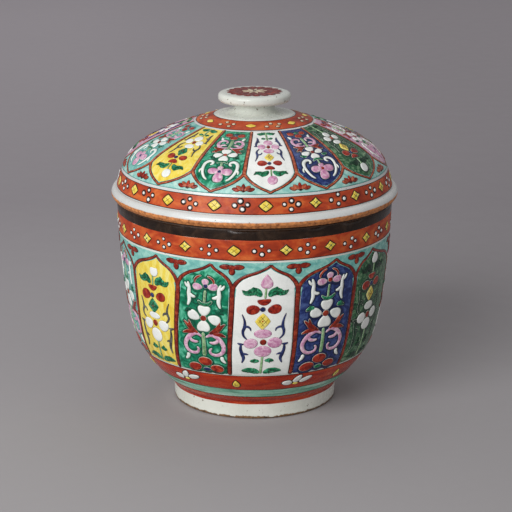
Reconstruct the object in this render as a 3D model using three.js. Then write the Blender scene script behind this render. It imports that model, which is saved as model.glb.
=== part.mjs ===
// A benjarong covered jar: a deep porcelain bowl on a foot ring, under a domed lid with a disc
// knob. Every thrown piece is its own solid, and so is every field of the raised enamel that
// covers them: an arcade of pointed arches runs round the bowl and another round the lid, and a
// coloured panel lies in each arch. Millimetres, +Z up, origin on the table under the axis.
// The front, where the first panel of the bowl is, faces -Y, and azimuths turn from there to +X.
import * as THREE from "three";
import { mergeGeometries, mergeVertices } from "three/addons/utils/BufferGeometryUtils.js";

// Counts and turns.
const PANELS = 14;
const FACETS_PER_PANEL = 3;
const KNOB_FACETS = 24;
const EDGE_STEPS = 3;
const ROSETTE_PETALS = 18;
const PETAL_STEPS = 2;
const LID_TURN = THREE.MathUtils.degToRad(3);

// Foot ring.
const FOOT_HEIGHT = 13.4;
const FOOT_SETBACK = 1.2;
const FOOT_WALL = 6.5;
const FOOT_DRAFT = 0.5;
const FOOT_BEVEL = 1;

// Bowl.
const BOWL_HEIGHT = 132;
const BOWL_BASE_RADIUS = 59.2;
const MOUTH_RADIUS = 96.2;
const BOWL_WALL = 5.5;
const FLOOR_THICKNESS = 8;
const LIP_ROUND = 1.3;

// Lid.
const FLANGE_OVERHANG = 3.8;
const FLANGE_WIDTH = 4;
const FLANGE_HEIGHT = 8.4;
const FLANGE_BULGE_HEIGHT = 3.6;
const DOME_RISE = 49.1;
const LID_WALL = 5.5;
const RING_DEPTH = 8;
const RING_WALL = 3.5;
const RING_CLEARANCE = 1.2;
const RING_BEVEL = 0.8;

// Knob.
const KNOB_HEIGHT = 15;
const KNOB_FOOT_RADIUS = 27.6;
const KNOB_FOOT_EDGE = 0.4;
const NECK_RADIUS = 13.8;
const NECK_HEIGHT = 4.4;
const DISC_RADIUS = 25.2;
const DISC_MIDDLE_HEIGHT = 11.4;
const DISC_FLAT_RADIUS = 20.5;

// Fits: the fired seam between luted pieces, the lid's seat, and the enamel over the glaze.
const LUTED_SEAM = 0.3;
const LID_SEAT_GAP = 0.3;
const GLAZE_GAP = 0.3;

// Enamel.
const ENAMEL_THICKNESS = 0.35;
const OUTLINE_WIDTH = 2.6;
const PANEL_MARGIN = 0.5;
const TIP_COVER = 0.9;
const TIP_WIDTH = 0.8;
const ROSETTE_MARGIN = 0.9;
const ROSETTE_SCALLOP = 1.2;

const PORCELAIN = 0xe6e8e2;
const BISCUIT = 0xb9814f;
const IRON_RED = 0xa63a1e;
const DEEP_RED = 0x8e2c1a;
const DARK_BROWN = 0x2b211b;
const TURQUOISE = 0x7cc8b8;
const SEA_GREEN = 0x5fa58c;
const WHITE = 0xf1f0ee;
const BLUE = 0x27336f;
const DARK_GREEN = 0x2a6b40;
const PINK = 0xc98fb0;
const YELLOW = 0xf0d24c;
const GREEN = 0x168a60;
const PANEL_COLOURS = [WHITE, BLUE, DARK_GREEN, PINK, TURQUOISE, YELLOW, GREEN];

// The outlines, from the foot of each curve to its top, as shares of its own width and height.
const BOWL_RADIUS_SHARES = [0, 0.162, 0.354, 0.549, 0.697, 0.8, 0.881, 0.941, 0.978, 1];
const BOWL_HEIGHT_SHARES = [0, 0.048, 0.109, 0.186, 0.277, 0.392, 0.545, 0.698, 0.85, 1];
const DOME_RADIUS_SHARES = [1, 0.985, 0.959, 0.912, 0.839, 0.737, 0.62, 0.474, 0.327, 0.196, 0];
const DOME_HEIGHT_SHARES = [0, 0.065, 0.198, 0.35, 0.477, 0.589, 0.678, 0.768, 0.847, 0.912, 1];
const SKIRT_SHARES = [[0.52, 0.2], [0.17, 0.5], [0, 1]];
const DISC_UNDER_SHARES = [[0.07, 0.25], [0.37, 0.4], [0.76, 0.53], [0.97, 0.78], [1, 1]];
const DISC_OVER_SHARES = [[0.78, 0.62], [0, 1]];

// Where the rings of facets lie on each outline, outside and inside, as shares of its length. The
// lid's outline starts at the flange.
const BOWL_RING_SHARES = [0, 0.047, 0.12, 0.237, 0.34, 0.5, 0.69, 0.848, 1];
const BOWL_INNER_RING_SHARES = [0.12, 0.237, 0.34, 0.5, 0.69, 1];
const DOME_RING_SHARES = [0, 0.135, 0.2, 0.26, 0.33, 0.45, 0.63, 0.834, 1];
const DOME_INNER_RING_SHARES = [0.2, 0.33, 0.45, 0.63, 0.834, 1];
const FLOOR_FLAT_SHARE = 0.8;

// Where each enamel field begins and ends on its outline, as shares of its length. The arches
// stand on the foot share and spring at theirs, and the spandrels over them end at the top share.
// An arch's curve gives, for each share of its rise, the share of its width that is left.
const BOWL_FIELD_SHARES = {
  footLineShares: [0.006, 0.045],
  greenBandShares: [0.049, 0.118],
  lowerBandShares: [0.122, 0.234],
  footShare: 0.24,
  springShare: 0.69,
  topShare: 0.844,
  curveShares: [[0, 1], [0.45, 0.92], [0.8, 0.58], [1, 0]],
  upperBandShares: [0.852, 0.95],
  mouthBandShares: [0.955, 0.995],
};
const DOME_FIELD_SHARES = {
  rimBandShares: [0.01, 0.133],
  footShare: 0.822,
  springShare: 0.33,
  topShare: 0.16,
  curveShares: [[0, 1], [0.35, 0.86], [0.7, 0.42], [1, 0]],
  crownBandShares: [0.846, 0.994],
};
const SPANDREL_START_SHARE = 0.15;

const facets = PANELS * FACETS_PER_PANEL;
const panelTurn = (2 * Math.PI) / PANELS;
const footRadius = BOWL_BASE_RADIUS - FOOT_SETBACK;
const bowlBase = FOOT_HEIGHT + LUTED_SEAM;
const bowlLip = bowlBase + BOWL_HEIGHT;
const bowlInnerRadius = MOUTH_RADIUS - BOWL_WALL;
const lidSeat = bowlLip + LID_SEAT_GAP;
const lidRadius = MOUTH_RADIUS + FLANGE_OVERHANG;
const domeRadius = lidRadius - FLANGE_WIDTH;
const ringRadius = bowlInnerRadius - RING_CLEARANCE;
const ringInnerRadius = ringRadius - RING_WALL;
const crownHeight = FLANGE_HEIGHT + DOME_RISE;
const knobBase = crownHeight + LUTED_SEAM;
const rosetteRadius = DISC_FLAT_RADIUS - ROSETTE_MARGIN;
const enamelTop = GLAZE_GAP + ENAMEL_THICKNESS;

const point = (radius, height) => new THREE.Vector2(radius, height);
const mix = THREE.MathUtils.lerp;

// A smooth outline through shares of the way from one corner to the other.
function smoothOutline(from, to, radiusShares, heightShares) {
  const points = radiusShares.map((share, i) =>
    point(mix(from.x, to.x, share), mix(from.y, to.y, heightShares[i])),
  );
  return new THREE.SplineCurve(points);
}

const bowlOutline = smoothOutline(
  point(BOWL_BASE_RADIUS, 0),
  point(MOUTH_RADIUS, BOWL_HEIGHT - LIP_ROUND),
  BOWL_RADIUS_SHARES,
  BOWL_HEIGHT_SHARES,
);
const domeOutline = smoothOutline(
  point(KNOB_FOOT_RADIUS, FLANGE_HEIGHT),
  point(domeRadius, crownHeight),
  DOME_RADIUS_SHARES,
  DOME_HEIGHT_SHARES,
);

// The point at a share of an outline's length, moved out along the surface's normal.
function lifted(curve, share, lift) {
  const at = curve.getPointAt(share);
  const tangent = curve.getTangentAt(share);
  return point(at.x + tangent.y * lift, at.y - tangent.x * lift);
}

// A solid of revolution about Z from its outline of radius and height points.
function turned(points, sides = facets) {
  return new THREE.LatheGeometry(points, sides).rotateX(Math.PI / 2);
}

function closedRing(points) {
  return turned([...points, points[0].clone()]);
}

// A band of enamel right round the piece.
function band(curve, rings, [from, to]) {
  const shares = [from, ...rings.filter((share) => share > from && share < to), to];
  const over = shares.map((share) => lifted(curve, share, enamelTop));
  const under = shares.map((share) => lifted(curve, share, GLAZE_GAP)).reverse();
  return closedRing([...over, ...under]);
}

// A flat slab bent over a turned surface as a thin layer of enamel. Each row has its share of the
// outline's length and the turns, in panels, that it runs between. A point on a plane through the
// middle of an arch, or halfway between two arches, keeps that plane's number as its seam.
function bentSlab(curve, rows, columns = FACETS_PER_PANEL) {
  const slab = new THREE.BoxGeometry(1, 1, 1, columns, rows.length - 1, 1);
  const points = slab.attributes.position;
  const seams = [];
  for (let i = 0; i < points.count; i++) {
    const row = rows[Math.round((points.getY(i) + 0.5) * (rows.length - 1))];
    const turns = (mix(row.from, row.to, points.getX(i) + 0.5) + PANELS) % PANELS;
    const at = lifted(curve, row.share, mix(GLAZE_GAP, enamelTop, points.getZ(i) + 0.5));
    const azimuth = turns * panelTurn;
    points.setXYZ(i, at.x * Math.sin(azimuth), -at.x * Math.cos(azimuth), at.y);
    seams.push(Number.isInteger(2 * turns) ? 2 * turns : -1);
  }
  slab.setAttribute("seam", new THREE.Float32BufferAttribute(seams, 1));
  slab.deleteAttribute("normal");
  slab.deleteAttribute("uv");
  return slab;
}

// Joins slabs that meet along seams, and leaves out the walls between them.
function joinedSlabs(slabs) {
  const joined = mergeVertices(mergeGeometries(slabs));
  const seam = joined.attributes.seam;
  const kept = [];
  for (let i = 0; i < joined.index.count; i += 3) {
    const corners = [0, 1, 2].map((corner) => joined.index.getX(i + corner));
    const [first, ...others] = corners.map((corner) => seam.getX(corner));
    if (first < 0 || others.some((other) => other !== first)) kept.push(...corners);
  }
  joined.deleteAttribute("seam");
  return joined.setIndex(kept);
}

// A layer with the same form in every panel. Each row runs from near to far on both sides of the
// arch's middle, in panels.
function repeated(curve, rows, columns) {
  const slabs = [];
  for (let i = 0; i < PANELS; i++) {
    const right = rows.map(({ share, near, far }) => ({ share, from: i + near, to: i + far }));
    const left = rows.map(({ share, near, far }) => ({ share, from: i - far, to: i - near }));
    slabs.push(bentSlab(curve, right, columns), bentSlab(curve, left, columns));
  }
  return joinedSlabs(slabs);
}

// A field's arch: the opening between the red outlines, raised by a length towards its tip.
function archOf(outline, { springShare, topShare, curveShares }, lift) {
  const lengthShare = Math.sign(topShare - springShare) / outline.getLength();
  const below = TIP_COVER + PANEL_MARGIN + OUTLINE_WIDTH - lift;
  return {
    spring: springShare + lift * lengthShare,
    tip: topShare - below * lengthShare,
    curveShares,
  };
}

// An arch's width at a share of the outline: all of it up to the springing, none at the tip.
function archWidth({ spring, tip, curveShares }, share) {
  const up = THREE.MathUtils.clamp((share - spring) / (tip - spring), 0, 1);
  const next = Math.max(1, curveShares.findIndex(([rise]) => rise >= up));
  const [[fromUp, fromWidth], [toUp, toWidth]] = curveShares.slice(next - 1, next + 1);
  return mix(fromWidth, toWidth, (up - fromUp) / (toUp - fromUp));
}

// A length round the piece at a share of its outline, in panels.
function turnsOf(outline, share, length) {
  return length / outline.getPointAt(share).x / panelTurn;
}

// The rows of an arched layer between two shares: its ends, the points of its arch's curve, and
// the rings of facets beside the straight part of the arch.
function archRows(rings, { spring, tip, curveShares }, ends) {
  const [low, high] = [Math.min(...ends), Math.max(...ends)];
  const curved = curveShares.map(([up]) => mix(spring, tip, up));
  const straight = rings.filter((share) => (share - spring) * (tip - spring) < 0);
  const between = [...straight, ...curved].filter((share) => share > low && share < high);
  return [low, ...between.sort((a, b) => a - b), high];
}

// Half of an arch's opening, drawn in by a margin, in panels.
function openingHalf(outline, arch, share, margin) {
  const taken = turnsOf(outline, share, OUTLINE_WIDTH / 2 + margin);
  return archWidth(arch, share) * (1 / 2 - taken);
}

function panel(outline, rings, field) {
  const arch = archOf(outline, field, -PANEL_MARGIN);
  const rows = archRows(rings, arch, [field.footShare, arch.tip]).map((share) => {
    const narrowest = turnsOf(outline, share, TIP_WIDTH / 2);
    const half = Math.max(openingHalf(outline, arch, share, PANEL_MARGIN), narrowest);
    return { share, from: -half, to: half };
  });
  return bentSlab(outline, rows);
}

// The red outlines: a line up each gap between two panels, which forks over them into arches
// that meet at the tips.
function tracery(outline, rings, field) {
  const inner = archOf(outline, field, 0);
  const outer = archOf(outline, field, OUTLINE_WIDTH);
  const rows = archRows(rings, inner, [field.footShare, outer.tip]).map((share) => ({
    share,
    near: openingHalf(outline, inner, share, 0),
    far: Math.max(archWidth(outer, share) / 2, turnsOf(outline, share, TIP_WIDTH / 2)),
  }));
  return repeated(outline, rows, 1);
}

// The ground over the arches: a toothed ring that fills what the outlines leave.
function spandrels(outline, field) {
  const arch = archOf(outline, field, OUTLINE_WIDTH + PANEL_MARGIN);
  const start = mix(arch.spring, arch.tip, SPANDREL_START_SHARE);
  const rows = archRows([], arch, [start, field.topShare]).map((share) => {
    const width = archWidth(arch, share);
    const beside = width / 2 + turnsOf(outline, share, PANEL_MARGIN);
    const narrowest = 1 / 2 - turnsOf(outline, share, TIP_WIDTH / 2);
    return { share, near: width > 0 ? Math.min(beside, narrowest) : 0, far: 1 / 2 };
  });
  return repeated(outline, rows, 2);
}

function footRing() {
  const inner = footRadius - FOOT_WALL;
  const tread = footRadius - FOOT_DRAFT;
  return closedRing([
    point(inner, FOOT_HEIGHT),
    point(inner, 0),
    point(tread - FOOT_BEVEL, 0),
    point(tread, FOOT_BEVEL),
    point(footRadius, FOOT_HEIGHT),
  ]);
}

function bowl() {
  const outside = BOWL_RING_SHARES.map((share) => lifted(bowlOutline, share, 0));
  const inside = BOWL_INNER_RING_SHARES.map((share) => lifted(bowlOutline, share, -BOWL_WALL));
  return turned([
    point(0, 0),
    ...outside,
    point(MOUTH_RADIUS - LIP_ROUND, BOWL_HEIGHT),
    point(bowlInnerRadius + LIP_ROUND, BOWL_HEIGHT),
    ...inside.reverse(),
    point(BOWL_BASE_RADIUS * FLOOR_FLAT_SHARE, FLOOR_THICKNESS),
    point(0, FLOOR_THICKNESS),
  ]);
}

// The flange's edge is a half ellipse, fuller below its widest line than above it.
function flangeEdge() {
  const points = [];
  for (let i = -EDGE_STEPS; i < EDGE_STEPS; i++) {
    const angle = (i * Math.PI) / 2 / EDGE_STEPS;
    const reach = i < 0 ? FLANGE_BULGE_HEIGHT : FLANGE_HEIGHT - FLANGE_BULGE_HEIGHT;
    points.push(
      point(
        domeRadius + FLANGE_WIDTH * Math.cos(angle),
        FLANGE_BULGE_HEIGHT + reach * Math.sin(angle),
      ),
    );
  }
  return points;
}

function lidShell() {
  const outside = DOME_RING_SHARES.map((share) => lifted(domeOutline, share, 0));
  const inside = DOME_INNER_RING_SHARES.map((share) => lifted(domeOutline, share, -LID_WALL));
  return turned([
    point(0, crownHeight - LID_WALL),
    ...inside.reverse(),
    point(ringInnerRadius, FLANGE_BULGE_HEIGHT),
    point(ringInnerRadius, 0),
    ...flangeEdge(),
    ...outside,
    point(0, crownHeight),
  ]);
}

function locatingRing() {
  return closedRing([
    point(ringInnerRadius, -LUTED_SEAM),
    point(ringInnerRadius, -RING_DEPTH),
    point(ringRadius - RING_BEVEL, -RING_DEPTH),
    point(ringRadius, RING_BEVEL - RING_DEPTH),
    point(ringRadius, -LUTED_SEAM),
  ]);
}

function knob() {
  const part = (shares, inner, outer, low, high) =>
    shares.map(([out, up]) => point(mix(inner, outer, out), mix(low, high, up)));
  return turned(
    [
      point(0, 0),
      point(KNOB_FOOT_RADIUS, 0),
      point(KNOB_FOOT_RADIUS, KNOB_FOOT_EDGE),
      ...part(SKIRT_SHARES, NECK_RADIUS, KNOB_FOOT_RADIUS, KNOB_FOOT_EDGE, NECK_HEIGHT),
      ...part(DISC_UNDER_SHARES, NECK_RADIUS, DISC_RADIUS, NECK_HEIGHT, DISC_MIDDLE_HEIGHT),
      ...part(DISC_OVER_SHARES, DISC_FLAT_RADIUS, DISC_RADIUS, DISC_MIDDLE_HEIGHT, KNOB_HEIGHT),
      point(0, KNOB_HEIGHT),
    ],
    KNOB_FACETS,
  );
}

// A flat flower of enamel with a scalloped edge.
function rosette() {
  const steps = ROSETTE_PETALS * PETAL_STEPS;
  const edge = Array.from({ length: steps }, (_, i) => {
    const petal = Math.abs(Math.sin((i * Math.PI) / PETAL_STEPS));
    const radius = rosetteRadius - ROSETTE_SCALLOP * (1 - petal);
    const angle = (i * 2 * Math.PI) / steps;
    return point(radius * Math.cos(angle), radius * Math.sin(angle));
  });
  return new THREE.ExtrudeGeometry(new THREE.Shape(edge), {
    depth: ENAMEL_THICKNESS,
    bevelEnabled: false,
  });
}

function piece(name, geometry, colour, roughness = 0.2) {
  const material = new THREE.MeshStandardMaterial({ color: colour, roughness, metalness: 0 });
  const mesh = new THREE.Mesh(geometry, material);
  mesh.name = name;
  return mesh;
}

// One panel in each arch, in the order of the colours round the jar.
function panels(prefix, geometry) {
  return Array.from({ length: PANELS }, (_, i) => {
    const number = String(i + 1).padStart(2, "0");
    const mesh = piece(prefix + number, geometry, PANEL_COLOURS[i % PANEL_COLOURS.length]);
    mesh.rotation.z = i * panelTurn;
    return mesh;
  });
}

function group(...children) {
  return new THREE.Group().add(...children);
}

const bowlBand = (range) => band(bowlOutline, BOWL_RING_SHARES, range);
const domeBand = (range) => band(domeOutline, DOME_RING_SHARES, range);

const bowlGroup = group(
  piece("bowl", bowl(), PORCELAIN),
  piece("bowl_foot_line", bowlBand(BOWL_FIELD_SHARES.footLineShares), DEEP_RED),
  piece("bowl_green_band", bowlBand(BOWL_FIELD_SHARES.greenBandShares), SEA_GREEN),
  piece("bowl_lower_band", bowlBand(BOWL_FIELD_SHARES.lowerBandShares), DEEP_RED),
  piece("bowl_tracery", tracery(bowlOutline, BOWL_RING_SHARES, BOWL_FIELD_SHARES), DEEP_RED),
  piece("bowl_spandrels", spandrels(bowlOutline, BOWL_FIELD_SHARES), TURQUOISE),
  ...panels("bowl_panel_", panel(bowlOutline, BOWL_RING_SHARES, BOWL_FIELD_SHARES)),
  piece("bowl_upper_band", bowlBand(BOWL_FIELD_SHARES.upperBandShares), IRON_RED),
  piece("bowl_mouth_band", bowlBand(BOWL_FIELD_SHARES.mouthBandShares), DARK_BROWN),
);
bowlGroup.position.z = bowlBase;

const flower = piece("knob_rosette", rosette(), DEEP_RED);
flower.position.z = KNOB_HEIGHT + GLAZE_GAP;
const knobGroup = group(piece("lid_knob", knob(), PORCELAIN), flower);
knobGroup.position.z = knobBase;

const lidGroup = group(
  piece("lid_shell", lidShell(), PORCELAIN),
  piece("lid_locating_ring", locatingRing(), BISCUIT, 0.7),
  piece("lid_rim_band", domeBand(DOME_FIELD_SHARES.rimBandShares), IRON_RED),
  piece("lid_tracery", tracery(domeOutline, DOME_RING_SHARES, DOME_FIELD_SHARES), DEEP_RED),
  piece("lid_spandrels", spandrels(domeOutline, DOME_FIELD_SHARES), TURQUOISE),
  ...panels("lid_panel_", panel(domeOutline, DOME_RING_SHARES, DOME_FIELD_SHARES)),
  piece("lid_crown_band", domeBand(DOME_FIELD_SHARES.crownBandShares), IRON_RED),
  knobGroup,
);
lidGroup.position.z = lidSeat;
lidGroup.rotation.z = LID_TURN;

const jar = group(piece("foot_ring", footRing(), PORCELAIN, 0.35), bowlGroup, lidGroup);

export default jar;
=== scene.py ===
"""The looks of a benjarong covered jar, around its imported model. Smooth thrown porcelain carries
coats of raised enamel: bands, an arcade of red lines, coloured grounds in its arches, and the
flowers, leaves and tendrils on them, each dab a thin domed mesh laid on the turned surface under
it. Lengths are in millimetres and become metres where a mesh is made. Azimuths start at the
front, -Y, and turn towards +X."""
import random
from collections import namedtuple
from math import acos, atan2, cos, pi, radians, sin
from types import SimpleNamespace

import bpy
import numpy as np
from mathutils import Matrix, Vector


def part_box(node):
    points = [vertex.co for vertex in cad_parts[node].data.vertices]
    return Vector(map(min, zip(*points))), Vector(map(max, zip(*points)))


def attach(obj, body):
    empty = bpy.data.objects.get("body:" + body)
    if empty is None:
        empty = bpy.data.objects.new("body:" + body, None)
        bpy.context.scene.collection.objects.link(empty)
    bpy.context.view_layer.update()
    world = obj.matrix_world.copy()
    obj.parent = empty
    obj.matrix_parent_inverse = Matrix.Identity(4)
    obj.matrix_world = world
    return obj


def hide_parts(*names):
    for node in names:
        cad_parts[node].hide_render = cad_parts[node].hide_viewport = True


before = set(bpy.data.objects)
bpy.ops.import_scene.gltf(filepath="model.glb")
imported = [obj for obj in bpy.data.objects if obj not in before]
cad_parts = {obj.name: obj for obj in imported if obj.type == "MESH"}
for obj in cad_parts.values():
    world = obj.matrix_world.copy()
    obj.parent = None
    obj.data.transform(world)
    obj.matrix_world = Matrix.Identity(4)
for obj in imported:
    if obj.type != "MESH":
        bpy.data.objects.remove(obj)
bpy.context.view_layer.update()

MM = 0.001
TAU = 2 * pi
rng = random.Random(1851)


def span(node):
    """A node's radius, lowest and highest point."""
    low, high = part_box(node)
    return round(high[0] / MM, 1), round(low[2] / MM, 2), round(high[2] / MM, 2)


def jitter(amount):
    """A small error, as a painter's hand makes."""
    return rng.uniform(-amount, amount)


# Sizes of the thrown pieces, from the model where it gives them.
FOOT_RADIUS, _, FOOT_TOP = span("foot_ring")
MOUTH_RADIUS, BOWL_BASE, BOWL_LIP = span("bowl")
RIM_RADIUS, LID_SEAT, CROWN = span("lid_shell")
RING_RADIUS, RING_LOW, _ = span("lid_locating_ring")
KNOB_FOOT_RADIUS, KNOB_BASE, KNOB_TOP = span("lid_knob")
PANELS = sum(name.startswith("bowl_panel_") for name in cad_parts)
PANEL_TURN = TAU / PANELS
LID_TURN = radians(3)
FOOT_WALL = 6.5
BOWL_BASE_RADIUS = 59.2
BOWL_WALL = 5.5
FLOOR_THICKNESS = 8
LIP_ROUND = 1.3
FLANGE_HEIGHT = 8.4
FLANGE_BULGE = 3.6
FLANGE_RADIUS = RIM_RADIUS - 0.16
DOME_RADIUS = 96
LID_WALL = 5.5
RING_WALL = 3.5
NECK_RADIUS = 14.1
DISC_RADIUS = 25.18
DISC_FLAT_RADIUS = 19.5
ROSETTE_RADIUS = 19.6

BOWL_RADIUS_SHARES = [0, 0.162, 0.354, 0.549, 0.697, 0.8, 0.881, 0.941, 0.978, 1]
BOWL_HEIGHT_SHARES = [0, 0.048, 0.109, 0.186, 0.277, 0.392, 0.545, 0.698, 0.85, 1]
DOME_RADIUS_SHARES = [0, 0.196, 0.327, 0.474, 0.62, 0.737, 0.839, 0.912, 0.959, 0.985, 1]
DOME_HEIGHT_SHARES = [0, 0.088, 0.153, 0.232, 0.322, 0.411, 0.523, 0.65, 0.802, 0.935, 1]

# How far each coat stands off the glaze, how deep it is set in, and the width of a fine line.
SINK = 0.12
POOL = 0.23
GROUND = 0.2
OUTLINE = 0.3
LINE = 0.46
DAB = 0.66
VEIN = 0.74
FINE_LINE = 0.5

# Steps round the axis, and along a brush stroke.
ROUND_STEPS = 336
STROKE_STEP = 0.8


# Turned surfaces.

def smooth(points, per_span):
    """A Catmull-Rom curve through the points, its ends doubled."""
    p = np.array([points[0], *points, points[-1]], float)
    t = np.linspace(0, 1, per_span, endpoint=False)[:, None]
    out = []
    for before, a, b, after in zip(p, p[1:], p[2:], p[3:]):
        v0, v1 = (b - before) / 2, (after - a) / 2
        out.append((2 * a - 2 * b + v0 + v1) * t**3 + (3 * b - 3 * a - 2 * v0 - v1) * t**2 + v0 * t + a)
    return np.vstack([*out, p[-1:]])


def lengths(points):
    """How far along a path each of its points is."""
    steps = np.linalg.norm(np.diff(points, axis=0), axis=1)
    return np.concatenate([[0], np.cumsum(steps)])


def outline(start, end, radius_shares, height_shares):
    """A turned outline between two corners, through shares of the way from one to the other."""
    return smooth([(start[0] + (end[0] - start[0]) * across, start[1] + (end[1] - start[1]) * up)
                   for across, up in zip(radius_shares, height_shares)], 40)


class Turned:
    """A turned outside surface. A place on it has an azimuth, a length along the outline from
    where the outline is said to start, and a lift off the glaze."""

    def __init__(self, points, outward, turn=0, start=0):
        self.length = lengths(points) - start
        self.r, self.z = points[:, 0], points[:, 1]
        dr, dz = np.gradient(self.r, self.length), np.gradient(self.z, self.length)
        self.nr, self.nz = outward * dz, -outward * dr
        self.turn = turn

    def profile(self, s, lift=0):
        r, z, nr, nz = (np.interp(s, self.length, v) for v in (self.r, self.z, self.nr, self.nz))
        return r + nr * lift, z + nz * lift

    def radius(self, s):
        return np.interp(s, self.length, self.r)

    def at(self, azimuth, s, lift):
        r, z = self.profile(s, lift)
        a = azimuth + self.turn
        return np.stack([r * np.sin(a), -r * np.cos(a), z + 0 * a], -1)


# The foot's upper side flares into the bowl, and the lowest painted line runs over that joint.
foot_flare = np.array([(FOOT_RADIUS + 0.1, 9.4), (FOOT_RADIUS + 0.3, 11.4), (FOOT_RADIUS + 0.45, 12.4),
                       (FOOT_RADIUS + 0.75, 13.2)])
bowl_outline = outline((BOWL_BASE_RADIUS, BOWL_BASE), (MOUTH_RADIUS, BOWL_LIP - LIP_ROUND),
                       BOWL_RADIUS_SHARES, BOWL_HEIGHT_SHARES)
dome_outline = outline((KNOB_FOOT_RADIUS, CROWN), (DOME_RADIUS, LID_SEAT + FLANGE_HEIGHT),
                       DOME_RADIUS_SHARES, DOME_HEIGHT_SHARES)
flare_length = lengths(np.vstack([foot_flare, bowl_outline[:1]]))[-1]
BOWL = Turned(np.vstack([foot_flare, bowl_outline]), 1, start=flare_length)
DOME = Turned(dome_outline, -1, LID_TURN)


# Meshes.

class Coat:
    """One colour on one body, gathered from many small closed meshes."""

    made = []

    def __init__(self, name, body, slot, material, replaces=()):
        self.name, self.body, self.slot, self.material = name, body, slot, material
        self.replaces = replaces
        self.points, self.faces, self.count = [], [], 0
        Coat.made.append(self)

    def add(self, points, faces):
        """Adds one closed mesh, its faces turned outwards."""
        points = np.asarray(points, float)
        corners = np.array([(f[0], *pair) for f in faces for pair in zip(f[1:], f[2:])])
        a, b, c = points[corners.T]
        if np.einsum("ij,ij->", a, np.cross(b, c)) < 0:
            faces = [f[::-1] for f in faces]
        self.points.append(points)
        self.faces += [tuple(k + self.count for k in f) for f in faces]
        self.count += len(points)

    def build(self):
        mesh = bpy.data.meshes.new(self.name)
        mesh.from_pydata((np.vstack(self.points) * MM).tolist(), [], self.faces)
        mesh.validate()
        mesh.polygons.foreach_set("use_smooth", [True] * len(mesh.polygons))
        mesh.materials.append(self.material)
        piece = bpy.data.objects.new(self.name, mesh)
        bpy.context.scene.collection.objects.link(piece)
        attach(piece, self.body)
        if self.replaces:
            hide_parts(*self.replaces)


def loop_faces(rows, columns, closed=False):
    """Faces between rows of points, each row a closed loop."""
    faces = []
    for i in range(rows if closed else rows - 1):
        a, b = i * columns, (i + 1) % rows * columns
        for j in range(columns):
            k = (j + 1) % columns
            faces.append((a + j, b + j, b + k, a + k))
    return faces


def lathe(coat, profile, steps=ROUND_STEPS):
    """A closed solid of revolution, whose profile starts and ends on the axis or closes on
    itself."""
    points, rows = [], []
    for r, z in profile:
        corners = steps if r > 1e-6 else 1
        rows.append((len(points), corners))
        points += [(r * sin(i * TAU / steps), -r * cos(i * TAU / steps), z) for i in range(corners)]
    pairs = list(zip(rows, rows[1:]))
    if rows[0][1] > 1:
        pairs.append((rows[-1], rows[0]))
    faces = []
    for (low, lows), (high, highs) in pairs:
        for i in range(steps):
            j = (i + 1) % steps
            corners = (low + i % lows, low + j % lows, high + j % highs, high + i % highs)
            faces.append(tuple(dict.fromkeys(corners)))
    coat.add(points, faces)


def wave(amount):
    """An unsteady hand: a smooth error that meets its own start after a full turn."""
    terms = [(turns, rng.uniform(0.4, 1), rng.uniform(0, TAU)) for turns in (5, 9, 14, 23)]
    total = sum(size for _, size, _ in terms)
    return lambda a: amount * sum(size * np.sin(turns * a + shift) for turns, size, shift in terms) / total


# A band's shoulder: how far in each of its points is, and its share of the height.
BAND_SHOULDER = [(0, 0), (0.12, 0.55), (0.35, 0.85), (0.8, 1)]


def band(coat, surface, low, high, top=GROUND, unsteady=0.22, spacing=2):
    """A coat right round the piece, with rounded shoulders and a brush's unsteady edges."""
    a = np.arange(ROUND_STEPS) * TAU / ROUND_STEPS
    starts, ends = low + wave(unsteady)(a), high + wave(unsteady)(a)
    width = high - low
    reach = min(1, width / 2.4) / width
    shoulder = [(d * reach, height) for d, height in BAND_SHOULDER]
    inner = np.linspace(shoulder[-1][0], 1 - shoulder[-1][0], max(2, int(width / spacing)))[1:-1]
    across = shoulder + [(t, 1) for t in inner] + [(1 - t, height) for t, height in shoulder[::-1]]
    ring = [(t, top * height) for t, height in across] + [(t, -SINK) for t, _ in across[::-1]]
    share, lift = np.array(ring).T
    s = starts[:, None] + (ends - starts)[:, None] * share
    points = surface.at(a[:, None] + 0 * s, s, lift + 0 * s).reshape(-1, 3)
    coat.add(points, loop_faces(ROUND_STEPS, len(ring), closed=True))


# Drawings laid on a surface.

class Patch:
    """A flat drawing laid on a turned surface: u runs round it and v along it. Unless told its
    angle for a unit of u, both are true lengths at its middle. Its strokes may be thinner, and
    heights in it may be moved to other ones."""

    def __init__(self, surface, azimuth, s, per_u=None, per_v=1, lean=0, thin=1, heights=None):
        self.surface, self.azimuth, self.s = surface, azimuth, s
        self.per_u = per_u or 1 / float(surface.radius(s))
        self.per_v, self.lean, self.thin, self.heights = per_v, lean, thin, heights

    def place(self, u, v):
        u, v = np.asarray(u, float), np.asarray(v, float)
        if self.heights:
            v = np.interp(v, *self.heights)
        return self.azimuth + (u + self.lean * v) * self.per_u, self.s + v * self.per_v

    def on(self, u, v, lift):
        a, s = self.place(u, v)
        return self.surface.at(a, s, np.asarray(lift, float))


class FlatPatch:
    """A drawing on the knob's flat top, seen from above."""

    def on(self, u, v, lift):
        flat = np.broadcast_arrays(np.asarray(u, float), np.asarray(v, float), np.asarray(lift, float))
        return np.stack([flat[0], flat[1], KNOB_TOP + flat[2]], -1)


# A stroke's section: how far across and up each of its points is, and whether it is sunk.
DOMED = np.array([(-1, 0, 0), (-0.82, 0.55, 0), (-0.45, 0.9, 0), (0, 1, 0), (0.45, 0.9, 0), (0.82, 0.55, 0),
                  (1, 0, 0), (1, 0, 1), (-1, 0, 1)]).T
FLAT = np.array([(-1, 0, 0), (-0.7, 1, 0), (0.7, 1, 0), (1, 0, 0), (1, 0, 1), (-1, 0, 1)]).T


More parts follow.
